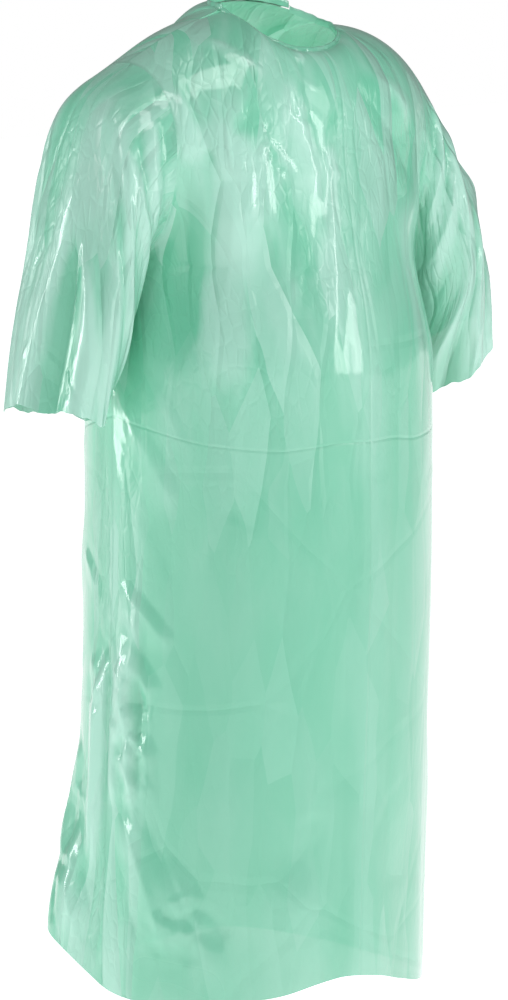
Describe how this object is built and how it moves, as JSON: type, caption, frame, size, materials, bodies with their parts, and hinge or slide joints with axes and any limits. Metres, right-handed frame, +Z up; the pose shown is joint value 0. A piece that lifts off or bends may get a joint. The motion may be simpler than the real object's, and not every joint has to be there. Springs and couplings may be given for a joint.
{
  "type": "patient gown",
  "caption": "Short-sleeved, knee-length patient gown of thin translucent film with a lapped back opening, neck ties and waist ties.",
  "frame": {"origin": "middle of the shoulder line, where the wearer carries the gown", "axes": "+Z up along the wearer, -Y the way the wearer faces, +X towards the wearer's left hand"},
  "size_m": [0.6977, 0.3912, 1.194],
  "materials": {
    "film": "glossy translucent polyethylene film with crinkles",
    "binding_film": "folded and welded film, glossy",
    "tie_film": "glossy film strip"
  },
  "bodies": {
    "gown": {"front_panel": "film", "right_back_panel": "film", "left_back_panel": "film", "neck_binding": "binding_film", "right_neck_tie": "tie_film", "left_neck_tie": "tie_film"},
    "right_sleeve": {"right_sleeve": "film"},
    "left_sleeve": {"left_sleeve": "film"},
    "back_flap": {"right_back_flap": "film"},
    "right_waist_tie": {"right_waist_tie": "tie_film"},
    "left_waist_tie": {"left_waist_tie": "tie_film"}
  },
  "joints": [
    {"name": "right_sleeve_lift", "type": "hinge", "parent": "gown", "child": "right_sleeve", "pos_m": [-0.1965, 0, -0.0335], "axis": [0, 1, 0], "range_deg": [0, 40]},
    {"name": "left_sleeve_lift", "type": "hinge", "parent": "gown", "child": "left_sleeve", "pos_m": [0.1965, 0, -0.0335], "axis": [0, -1, 0], "range_deg": [0, 40]},
    {"name": "back_flap_open", "type": "hinge", "parent": "gown", "child": "back_flap", "pos_m": [-0.1192, 0.1587, -0.4512], "axis": [0.015, -0.012, 0.9998], "range_deg": [0, 80]},
    {"name": "right_waist_tie_swing", "type": "hinge", "parent": "gown", "child": "right_waist_tie", "pos_m": [0.0972, 0.1754, -0.415], "axis": [1, 0, 0], "range_deg": [0, 50]},
    {"name": "left_waist_tie_swing", "type": "hinge", "parent": "gown", "child": "left_waist_tie", "pos_m": [0.1442, 0.1542, -0.415], "axis": [1, 0, 0], "range_deg": [0, 50]}
  ]
}
